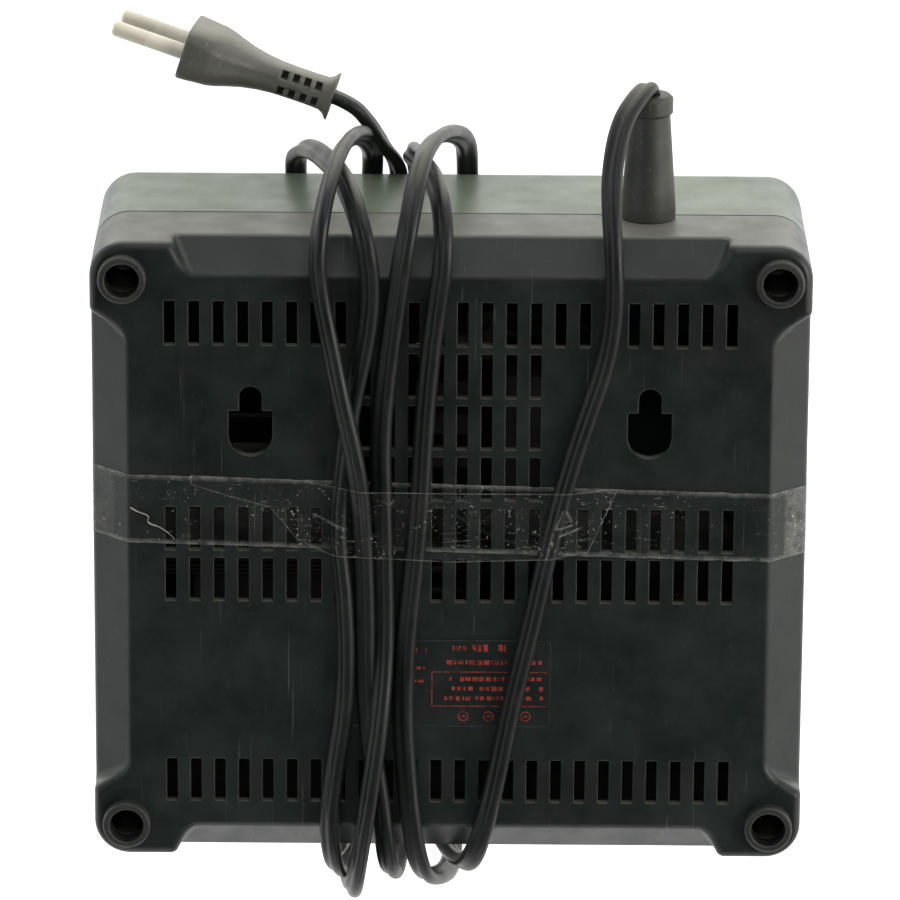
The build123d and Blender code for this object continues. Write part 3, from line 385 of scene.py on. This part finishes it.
# Inner parts are painted several times darker than clean ones would be, as painted shade, so that the slots
# read dark.
SLOT_FINISHES = {
    "housing_black": lambda n: moulded(n, (0.0072, 0.0120, 0.0112), cover=0.07, roughness=0.4, specular=0.42,
                                       dust=(0.22, 0.22, 0.18), plus_y_dust_and_light=0.66),
    "cover_green": lambda n: moulded(n, (0.020, 0.046, 0.033), (0.27, 0.3, 0.21), cover=0.12, roughness=0.34,
                                     plus_y_dust_and_light=0.52, scratch=0.4),
    # Feet: strong pale rims, partly wear and partly painted highlight.
    "foot_rubber": lambda n: moulded(n, (0.015, 0.017, 0.016), cover=0.2, roughness=0.5, edge_wear_and_highlight=0.8,
                                     edge=0.0006),
    "lead_black": lambda n: moulded(n, (0.0070, 0.0092, 0.0088), WARM_DUST, cover=0.05, roughness=0.38,
                                    grain=700, relief=0.06, specular=0.36, edge_wear_and_highlight=0.0, scratch=0.12,
                                    plus_y_dust_and_light=0.3),
    "relief_black": lambda n: moulded(n, (0.034, 0.037, 0.032), WARM_DUST, cover=0.25, roughness=0.5,
                                      relief=0.2, plus_y_dust_and_light=0.1),
    # Plug: paler base and heavier dust, partly dust and partly painted light of its lit side.
    "plug_black": lambda n: moulded(n, (0.082, 0.083, 0.072), WARM_DUST, cover=0.45, roughness=0.5,
                                    relief=0.2, edge_wear_and_highlight=0.45, plus_y_dust_and_light=0.5),
    "plate_black": lambda n: moulded(n, (0.011, 0.0155, 0.0155), cover=0.1,
                                     roughness=0.3, relief=0.05, edge=0.0003),
    "sleeve_white": lambda n: moulded(n, (0.76, 0.72, 0.6), (0.42, 0.39, 0.31),
                                      cover=0.25, roughness=0.35, edge_wear_and_highlight=0.1),
    "bobbin_white": lambda n: moulded(n, (0.13, 0.128, 0.118), (0.1, 0.09, 0.08), cover=0.2, edge_wear_and_highlight=0.1),
    "capacitor_blue": lambda n: moulded(n, (0.009, 0.017, 0.038), cover=0.2, roughness=0.25, edge_wear_and_highlight=0.1),
    "capacitor_grey": lambda n: moulded(n, (0.055, 0.058, 0.06), (0.06, 0.058, 0.05),
                                        cover=0.2, roughness=0.3, edge_wear_and_highlight=0.1),
    "chip_black": lambda n: moulded(n, (0.025, 0.025, 0.027), cover=0.15, roughness=0.45, edge_wear_and_highlight=0.2),
    "resistor_white": lambda n: moulded(n, (0.12, 0.118, 0.11), (0.09, 0.08, 0.06),
                                        cover=0.25, roughness=0.6, edge_wear_and_highlight=0.2),
    "block_grey": lambda n: moulded(n, (0.055, 0.058, 0.06), (0.06, 0.058, 0.05), cover=0.2, edge_wear_and_highlight=0.2),
    "knob_red": lambda n: moulded(n, (0.42, 0.02, 0.014), (0.3, 0.24, 0.2),
                                  cover=0.12, roughness=0.32, edge_wear_and_highlight=0.25),
    "knob_black": lambda n: moulded(n, (0.016, 0.016, 0.017), cover=0.14, roughness=0.35, edge_wear_and_highlight=0.3),
    "switch_black": lambda n: moulded(n, (0.014, 0.014, 0.015), cover=0.12, roughness=0.35, edge_wear_and_highlight=0.3),
    "wire_brown": lambda n: moulded(n, (0.035, 0.016, 0.009), PAINTED_SHADE_DUST, cover=0.1, roughness=0.35, edge_wear_and_highlight=0.0),
    "wire_blue": lambda n: moulded(n, (0.01, 0.022, 0.06), PAINTED_SHADE_DUST, cover=0.1, roughness=0.35, edge_wear_and_highlight=0.0),
    "wire_red": lambda n: moulded(n, (0.09, 0.012, 0.01), PAINTED_SHADE_DUST, cover=0.1, roughness=0.35, edge_wear_and_highlight=0.0),
    "wire_green": lambda n: moulded(n, (0.012, 0.045, 0.018), PAINTED_SHADE_DUST, cover=0.1, roughness=0.35, edge_wear_and_highlight=0.0),
    "screw_steel": lambda n: metal(n, (0.15, 0.15, 0.145), 0.42),
    # Pins: pale cream and mostly not metallic, a painted reflection of the white floor.
    "pin_nickel": lambda n: metal(n, (0.74, 0.69, 0.57), 0.5, 0.2, metallic=0.2),
    "heat_sink_aluminium": lambda n: metal(n, (0.16, 0.165, 0.17), 0.45, 0.15),
    "clip_brass": lambda n: metal(n, (0.2, 0.14, 0.07), 0.4),
    "stud_brass": lambda n: metal(n, (0.7, 0.5, 0.22), 0.28),
    "coil_copper": lambda n: wound_wire(n, (0.03, 0.016, 0.011)),
    "core_steel": lambda n: laminated(n, (0.07, 0.068, 0.065)),
    "board_green": lambda n: printed_board(n, (0.006, 0.014, 0.009)),
    "fuse_glass": lambda n: clear(n, (0.85, 0.88, 0.86), 0.05, 0.8),
    "lens_amber": lambda n: clear(n, (0.8, 0.33, 0.04), 0.15, 0.6),
    "led_red": lambda n: clear(n, (0.7, 0.05, 0.03), 0.15, 0.5),
}
finishes = {slot: make(slot) for slot, make in SLOT_FINISHES.items()}
finishes["tape_clear"] = tape_film()


def finish_cad_nodes():
    """Gives every CAD node the finish of its slot."""
    for row in frame["record"]["subparts"]:
        mesh = frame["nodes"][row["node"]].data
        for index in range(max(1, len(mesh.materials))):
            if index < len(mesh.materials):
                mesh.materials[index] = finishes[row["material_slot"]]
            else:
                mesh.materials.append(finishes[row["material_slot"]])


# ---- free lead -------------------------------------------------------------------
LOW, T = 2.5, BACK_Z + 2.5      # lead's centre on the floor and on the back
OVER = T + 4.4                  # and where it lies over another strand
RELIEF_X, RELIEF_Z, RELIEF_TIP_Y = 49.5, 45.5, 113.5
PLUG_TAIL = Vector((-30.3, 105.4, 19.6))
PLUG_AXIS = Vector((-0.945, 0.304, -0.1015)).normalized()
PLUG_WIDE = Vector((-0.0786, 0.090, 0.9925))
PLUG_WIDE = (PLUG_WIDE - PLUG_AXIS * PLUG_WIDE.dot(PLUG_AXIS)).normalized()
PLUG_THICK = PLUG_WIDE.cross(PLUG_AXIS)


def under(x_bottom, x_top, sway):
    """Route points of one pass below the front, from the -Y side to the +Y side."""
    return [(x_bottom, -62.0, LOW), (x_bottom + sway, -22.0, LOW),
            (x_top + sway, 18.0, LOW), (x_top, 60.0, LOW)]


STRAND_R = [(RELIEF_X, RELIEF_TIP_Y - 5.0, RELIEF_Z), (RELIEF_X, 115.6, RELIEF_Z), (47.0, 115.8, 53.0),
            (42.0, 110.5, 60.8), (39.6, 100.0, 67.6), (39.6, 89.0, 74.2), (40.6, 76.5, 76.6),
            (40.6, 63.0, 75.0), (38.4, 50.0, T), (33.0, 34.0, T), (28.0, 16.0, T), (24.0, -2.0, T),
            (20.4, -20.0, T), (16.2, -38.0, T), (12.9, -56.0, T), (9.6, -71.0, T + 0.6),
            (6.2, -82.5, 73.2), (2.5, -87.5, 60.0), (-2.0, -89.0, 38.0), (-5.2, -90.0, 17.0),
            (-6.0, -86.5, LOW)]
LOOP_D = [(-8.3, 82.5, LOW), (-10.0, 88.0, 9.0), (-10.6, 91.5, 22.0), (-8.0, 94.0, 40.0), (-4.4, 94.5, 58.0),
          (-2.2, 91.0, 72.5), (-1.8, 79.0, 77.0), (-3.6, 66.0, 75.0)]
STRAND_D = [(-5.1, 53.0, T), (-6.5, 36.0, T), (-7.4, 15.4, T), (-9.1, -4.5, T), (-11.1, -23.2, T),
            (-11.6, -43.4, T), (-10.4, -60.0, T), (-9.0, -74.0, T + 0.8), (-6.6, -85.5, 73.6),
            (-3.0, -91.0, 62.0), (1.0, -96.1, 43.0), (1.8, -95.0, 19.0), (1.7, -86.8, LOW)]
LOOP_C = [(4.1, 84.0, LOW), (3.4, 92.0, 10.0), (-0.6, 97.5, 24.0), (-4.9, 101.5, 46.0), (-8.0, 100.0, 64.0),
          (-10.0, 91.5, 75.5), (-12.0, 80.0, 77.5), (-13.2, 71.0, 75.6)]
STRAND_C = [(-15.4, 54.0, T), (-17.5, 34.0, T), (-17.1, 15.4, T), (-16.4, -6.0, T), (-16.1, -25.6, T),
            (-17.4, -43.5, OVER), (-20.2, -64.5, OVER), (-22.2, -78.0, T + 2.4), (-23.7, -89.0, 73.0),
            (-24.7, -95.0, 61.0), (-26.3, -97.0, 40.0), (-27.3, -95.0, 18.0), (-27.5, -87.0, LOW)]
LOOP_B = [(-40.6, 83.0, LOW), (-39.4, 88.5, 9.0), (-36.0, 92.5, 22.0), (-31.5, 95.0, 42.0),
          (-27.0, 95.0, 60.0), (-23.6, 90.5, 73.0), (-21.0, 82.0, 77.0), (-19.8, 70.0, 75.0)]
STRAND_B = [(-21.1, 57.0, T), (-24.2, 43.0, T), (-26.6, 26.0, T), (-28.3, 7.0, T), (-26.4, -9.0, T),
            (-25.8, -25.0, T), (-26.3, -41.0, T), (-28.9, -57.0, T), (-30.4, -71.0, T + 0.6),
            (-29.2, -83.5, 73.5), (-26.5, -89.0, 62.0), (-22.5, -91.0, 40.0), (-21.2, -90.5, 17.0),
            (-21.0, -86.5, LOW)]
LOOP_A = [(-20.2, 84.5, LOW), (-20.8, 90.5, 10.0), (-23.6, 97.0, 24.0), (-27.0, 100.5, 46.0),
          (-29.6, 98.5, 64.0), (-32.0, 91.0, 75.0), (-33.4, 80.0, 77.4), (-32.7, 71.0, 75.6)]
STRAND_A = [(-30.4, 58.5, T + 0.8), (-27.4, 44.0, OVER), (-22.9, 24.0, OVER), (-21.8, 6.0, T),
            (-21.1, -14.0, T), (-21.1, -33.0, T), (-19.6, -50.0, T), (-17.4, -64.0, T),
            (-16.2, -74.0, T + 0.6), (-15.0, -84.0, 73.5), (-13.6, -89.5, 62.0), (-12.6, -91.5, 40.0),
            (-12.4, -91.0, 17.0), (-12.5, -86.5, LOW)]
TAIL = [(-13.4, 79.0, LOW), (-14.4, 84.5, 4.6), (-18.0, 90.8, 10.8), (-20.9, 97.6, 17.2),
        tuple(PLUG_TAIL - PLUG_AXIS * 5.0), tuple(PLUG_TAIL + PLUG_AXIS * 2.0)]
LEAD_ROUTE = (STRAND_R + under(-6.2, -8.3, 0.6) + LOOP_D + STRAND_D + under(1.9, 4.1, 0.5)
              + LOOP_C + STRAND_C + under(-28.5, -39.0, -0.6) + LOOP_B + STRAND_B
              + under(-21.0, -21.8, -0.5) + LOOP_A + STRAND_A + under(-12.6, -13.2, -0.4) + TAIL)
CORE_R, CORE_OUT, WEB = 1.7, 1.15, 1.5      # each half of the twin, its place, and half the web's thickness


def centreline(points):
    """Points along one smooth NURBS line through the route, in millimetres."""
    curve = bpy.data.curves.new("route", "CURVE")
    curve.dimensions = "3D"
    spline = curve.splines.new("NURBS")
    spline.points.add(len(points) - 1)
    for knot, point in zip(spline.points, points):
        knot.co = (*(Vector(point) * MM), 1)
    spline.order_u = 3
    spline.use_endpoint_u = True
    spline.resolution_u = 9
    holder = bpy.data.objects.new("route", curve)
    bpy.context.scene.collection.objects.link(holder)
    bpy.context.view_layer.update()
    mesh = bpy.data.meshes.new_from_object(holder)
    line = [vertex.co / MM for vertex in mesh.vertices]
    bpy.data.objects.remove(holder)
    return line


def twin_profile(count=28):
    """Section of a flat twin lead: two round cores with a shallow groove between them."""
    section = []
    for step in range(count):
        angle = 2 * math.pi * step / count
        side = math.copysign(CORE_OUT, math.cos(angle))
        reach = side * math.cos(angle) + math.sqrt(CORE_R ** 2 - (side * math.sin(angle)) ** 2)
        if abs(math.sin(angle)) > 0.3:
            web = WEB / abs(math.sin(angle))
            if abs(web * math.cos(angle)) < CORE_OUT:
                reach = max(reach, web)
        section.append((reach * math.cos(angle), reach * math.sin(angle)))
    return section


def add_lead():
    """The lead, flat side tilted a little more or less along its way, and turned flat into the plug."""
    line = centreline(LEAD_ROUTE)
    section = twin_profile()
    run, total = [0.0], 0.0
    for before, after in zip(line, line[1:]):
        total += (after - before).length
        run.append(total)
    vertices = []
    for index, point in enumerate(line):
        tangent = tangent_at(line, index)
        into_plug = max(0.0, min(1.0, 1.6 - (total - run[index]) / 40.0))
        tilt = math.radians(44 + 13 * math.sin(run[index] / 61.0) + 6 * math.sin(run[index] / 23.0))
        tilt *= min(1.0, run[index] / 60.0) * (1 - into_plug) * max(0.5, min(1.0, (point.z - LOW) / 8))
        across = Vector((1, 0, 0)).lerp(PLUG_WIDE, into_plug)
        across = (across - tangent * across.dot(tangent)).normalized()
        across = Matrix.Rotation(tilt, 3, tangent) @ across
        outward = tangent.cross(across)
        vertices += [point + across * x + outward * y for x, y in section]
    lead = make_piece("flat_lead", vertices, tube_faces(len(line), len(section)), finishes["lead_black"])
    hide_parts(*[f"power_lead_{number}" for number in range(1, 7)])
    return lead, [point * MM for point in line]


# ---- plug --------------------------------------------------------------------------
# Distance from the end where the lead enters, thickness, width and corner exponent of each section.
PLUG_SECTIONS = [(0.0, 12.4, 10.5, 3.2), (0.5, 11.8, 10.4, 3.2), (1.4, 9.6, 10.2, 3.2),
                 (2.6, 8.3, 10.0, 3.2), (6.0, 8.0, 10.4, 3.2), (10.5, 7.9, 11.2, 3.2),
                 (15.0, 8.1, 12.4, 3.0), (19.0, 8.8, 14.4, 2.9), (23.0, 10.2, 17.6, 2.8),
                 (26.5, 12.0, 21.4, 2.8), (29.2, 13.4, 24.8, 3.0), (31.6, 14.0, 27.2, 3.4),
                 (33.2, 13.8, 28.2, 3.8), (36.4, 14.0, 29.2, 4.4), (38.7, 14.2, 29.6, 4.6),
                 (39.2, 13.6, 29.0, 4.6)]


def plug_point(distance, thick, wide):
    """A point of the plug, from its own axes."""
    return PLUG_TAIL + PLUG_AXIS * distance + PLUG_THICK * thick + PLUG_WIDE * wide


def add_plug():
    """Moulded two-pole plug: waisted body, parting seam, windows in its tail and a flared end."""
    count, vertices = 56, []
    for distance, thick, wide, power in PLUG_SECTIONS:
        for step in range(count):
            angle = 2 * math.pi * step / count
            x, y = (math.copysign(abs(f(angle)) ** (2 / power), f(angle)) for f in (math.cos, math.sin))
            seam = 1 - 0.03 * math.exp(-(x / 0.06) ** 2) if distance > 0.1 else 1
            vertices.append(plug_point(distance, x * thick / 2, y * seam * wide / 2))
    plug = make_piece("moulded_plug", vertices, tube_faces(len(PLUG_SECTIONS), count), finishes["plug_black"])
    cut_windows(plug)
    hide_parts("plug_body")
    return plug


def cut_windows(plug):
    """Four pairs of pockets in each narrow edge of the tail."""
    vertices, faces = [], []
    for distance in (3.3, 6.3, 9.3, 12.3):
        for side in (-1, 1):
            for edge in (-1, 1):
                first = len(vertices)
                for along in (0.0, 1.7):
                    for thick in (1.0, 3.1):
                        for wide in (2.2, 8.0):
                            vertices.append(plug_point(distance + along, side * thick, edge * wide))
                box = [(0, 1, 3, 2), (4, 6, 7, 5), (0, 4, 5, 1), (2, 3, 7, 6), (0, 2, 6, 4), (1, 5, 7, 3)]
                faces += [tuple(first + corner for corner in face) for face in box]
    cutter = make_piece("cutter", vertices, faces, finishes["plug_black"], smooth=False)
    mesh = bmesh.new()
    mesh.from_mesh(cutter.data)
    bmesh.ops.recalc_face_normals(mesh, faces=mesh.faces)
    mesh.to_mesh(cutter.data)
    mesh.free()
    carve = plug.modifiers.new("windows", "BOOLEAN")
    carve.operation = "DIFFERENCE"
    carve.object = cutter
    carve.solver = "EXACT"
    bpy.context.view_layer.update()
    carved = bpy.data.meshes.new_from_object(plug.evaluated_get(bpy.context.evaluated_depsgraph_get()))
    plug.modifiers.clear()
    plug.data = carved
    bpy.data.objects.remove(cutter)


# ---- sticky tape ---------------------------------------------------------------------
def upper_hull(points):
    """The taut line over points in a plane, left to right."""
    hull = []
    for point in sorted(points):
        while len(hull) > 1:
            (x1, z1), (x2, z2) = hull[-2:]
            if (x2 - x1) * (point[1] - z1) >= (z2 - z1) * (point[0] - x1):
                hull.pop()
            else:
                break
        hull.append(point)
    return hull


def height_on(line, x):
    """Height of a polyline of (x, z) at x."""
    for (x1, z1), (x2, z2) in zip(line, line[1:]):
        if x1 <= x <= x2:
            return z1 + (z2 - z1) * (x - x1) / max(x2 - x1, 1e-6)
    return line[0][1] if x < line[0][0] else line[-1][1]


def set_rim(piece, values):
    """Stores how near each vertex is to the tape's edge."""
    attribute = piece.data.attributes.new("rim", "FLOAT", "POINT")
    attribute.data.foreach_set("value", values)


TAPE_LEFT, TAPE_RIGHT_LOW, TAPE_RIGHT_HIGH = -65.2, 34.9, 42.3
TAPE_RIM = 0.35                 # width of the dusty line along an edge of tape
BAND_WIDTH, BAND_END_Z = 18.0, 46.2
TAPE_UPPER = [(TAPE_LEFT, 21.0), (-37.6, 19.8), (0.0, 18.8), (TAPE_RIGHT_HIGH, 18.0)]
TAPE_LOWER = [(TAPE_LEFT, 18.6), (-56.0, 15.6), (-45.1, 12.6), (-38.1, 3.9), (-30.0, 1.3),
              (0.0, 0.0), (TAPE_RIGHT_LOW, 1.0)]


# Hard creases in the strip over the lead, in millimetres.
CREASES = [((28.4, 13.5), (26.6, 8.8)), ((26.6, 8.8), (30.8, 9.4)), ((29.4, 13.4), (30.6, 10.4)),
           ((26.0, 7.6), (24.4, 0.9)), ((-34.0, 11.4), (-26.0, 8.6)), ((33.0, 8.2), (27.6, 6.9))]


def from_segment(x, y, start, end):
    """Distance of a point from a straight segment."""
    point, first, run = Vector((x, y)), Vector(start), Vector(end) - Vector(start)
    share = max(0.0, min(1.0, (point - first).dot(run) / run.length_squared))
    return (point - first - run * share).length


def add_tape_over(lead):
    """The strip that holds the strands down: taut over the lead, stuck to the back at both ends."""
    tops = [vertex.co / MM for vertex in lead.data.vertices if vertex.co.z > (BACK_Z + 1) * MM]
    rows, columns = 52, 260
    vertices, rims = [], []
    for r in range(rows):
        share = r / (rows - 1)
        right = TAPE_RIGHT_LOW + (TAPE_RIGHT_HIGH - TAPE_RIGHT_LOW) * share
        middle = 19.0 * share
        taut = [(-36.5, BACK_Z + 0.5), (right - 2.5, BACK_Z + 0.5)]
        taut += [(p.x, p.z + 0.12) for p in tops if abs(p.y - middle) < 1.3 and -36 < p.x < 34]
        taut = [(-70.0, BACK_Z + 0.5)] + upper_hull(taut) + [(60.0, BACK_Z + 0.5)]
        for c in range(columns):
            x = TAPE_LEFT + (right - TAPE_LEFT) * c / (columns - 1)
            low, high = height_on(TAPE_LOWER, x), height_on(TAPE_UPPER, x)
            y = low + (high - low) * share
            crease = noise.noise(Vector((x * 0.16, y * 0.5, 3.0))) * 0.5
            crease += noise.noise(Vector((x * 0.7, y * 0.4, 9.0))) * 0.16
            near_lead = 1 if height_on(taut, x) > BACK_Z + 0.9 else 0.25
            vertices.append((x, y, height_on(taut, x) + max(-0.08, crease * 0.5 * near_lead)))
            edge = min(y - low, high - y, (right - x) * 0.8, x - TAPE_LEFT)
            crease_gap = min(from_segment(x, y, *crease) for crease in CREASES)
            rims.append(max(0.0, 1 - edge / TAPE_RIM, 1 - crease_gap / 0.4))
    tape = make_piece("tape_over_lead", vertices, grid_faces(rows, columns), finishes["tape_clear"])
    set_rim(tape, rims)
    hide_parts("tape_over")


def add_tape_band():
    """The strip stuck across the back, over both bevels and down both flanks."""
    half, bevel = case_high.x, 9.5
    profile = [(-half - 0.37, BAND_END_Z), (-half - 0.37, 63.5), (-half + bevel - 0.2, BACK_Z + 0.25)]
    profile += [(x, BACK_Z + 0.25) for x in range(-76, 80, 4)]
    profile += [(-x, z) for x, z in reversed(profile[:3])]
    fine = []
    for (x1, z1), (x2, z2) in zip(profile, profile[1:]):
        steps = max(1, round(math.hypot(x2 - x1, z2 - z1) / 1.5))
        fine += [(x1 + (x2 - x1) * s / steps, z1 + (z2 - z1) * s / steps) for s in range(steps)]
    fine.append(profile[-1])
    rows, vertices, rims = 14, [], []
    for r in range(rows):
        for x, z in fine:
            low = 1.0 - x * 2.0 / 79.0 + noise.noise(Vector((x * 0.3, 0, 1))) * 0.25
            vertices.append((x, low + BAND_WIDTH * r / (rows - 1), z))
            on_flank = abs(x) > half - 6.0
            from_end = z - BAND_END_Z if on_flank else 99
            # On the flanks the film is denser, more on the right (+X) flank than on the left.
            flank_film = (0.7 if x > 0 else 0.3) if on_flank else 0.0
            from_side = BAND_WIDTH * min(r, rows - 1 - r) / (rows - 1)
            rims.append(max(flank_film, 1 - min(from_side, from_end) / TAPE_RIM))
    tape = make_piece("tape_band_film", vertices, grid_faces(rows, len(fine)), finishes["tape_clear"])
    set_rim(tape, rims)
    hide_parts("tape_band")


GLUE_ROUTE = [(-81.7, 18.6, 70.9), (-80.6, 15.8, 71.6), (-81.6, 13.0, 71.0), (-79.0, 11.4, 72.5),
              (-75.2, 10.2, 72.6), (-76.4, 8.4, 72.7), (-71.6, 6.9, 72.6), (-69.0, 3.9, 72.5)]


def add_glue_roll():
    """Glue that has rolled up into a pale thread on the band's left end."""
    line = centreline(GLUE_ROUTE)
    count, vertices = 8, []
    for index, point in enumerate(line):
        tangent = tangent_at(line, index)
        across = tangent.cross(Vector((0, 0, 1))).normalized()
        radius = 0.16 + 0.12 * noise.noise(point * 0.9)
        radius *= min(1.0, (index + 1) / 6, (len(line) - index) / 6)
        for step in range(count):
            angle = 2 * math.pi * step / count
            outward = across * math.cos(angle) + across.cross(tangent) * math.sin(angle)
            vertices.append(point + outward * radius)
    make_piece("glue_roll", vertices, tube_faces(len(line), count), rolled_glue())


# ---- rating plate's print ---------------------------------------------------------------
# Y of the foot, letter height, and both ends in X of each row of marks.
TEXT_ROWS = [(-25.6, 1.9, 6.0, 14.5), (-25.4, 1.3, 1.0, 4.5), (-29.2, 1.3, -0.5, 24.0),
              (-33.6, 1.2, -1.0, 24.0), (-36.2, 1.2, -1.0, 24.0), (-38.8, 1.2, -1.0, 24.0),
              (-26.2, 1.6, -9.5, -5.5), (-30.5, 0.8, -9.5, -6.0), (-34.0, 0.8, -9.5, -6.0)]


def add_print():
    """Unreadable worn marks on the plate: short bars, a ruled box and a row of small rings."""
    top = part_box("rating_plate")[1].z / MM + 0.02
    vertices, faces = [], []

    def bar(x1, x2, y1, y2):
        first = len(vertices)
        vertices.extend([(x1, y1, top), (x2, y1, top), (x2, y2, top), (x1, y2, top)])
        faces.append((first, first + 1, first + 2, first + 3))

    def ring(x, y, radius, line=0.28, steps=20):
        first = len(vertices)
        for step in range(steps):
            angle = 2 * math.pi * step / steps
            for size in (radius, radius - line):
                vertices.append((x + size * math.cos(angle), y + size * math.sin(angle), top))
        for step in range(steps):
            after = (step + 1) % steps
            faces.append((first + 2 * step, first + 2 * after, first + 2 * after + 1, first + 2 * step + 1))

    draw = random.Random(11)
    for y in (-31.2, -40.4):
        bar(-4.3, 25.0, y, y + 0.22)
    bar(-4.3, -4.05, -40.4, -31.0)
    for y, height, left, right in TEXT_ROWS:
        x = left
        while x < right:
            width = draw.uniform(0.45, 1.5)
            if draw.random() < 0.8:
                bar(x, min(x + width, right), y + height * draw.uniform(0, 0.2), y + height)
            x += width + draw.uniform(0.25, 0.7)
    for x in (3.8, 10.2, 15.0, 19.6):
        ring(x, -43.0, 1.35)
        bar(x - 0.5, x + 0.5, -43.2, -42.8)
    make_piece("plate_print", vertices, faces, worn_print(), smooth=False)


add_camera()
add_studio()
finish_cad_nodes()
lead, lead_path = add_lead()
plug = add_plug()
add_tape_band()
add_tape_over(lead)
add_glue_roll()
add_print()
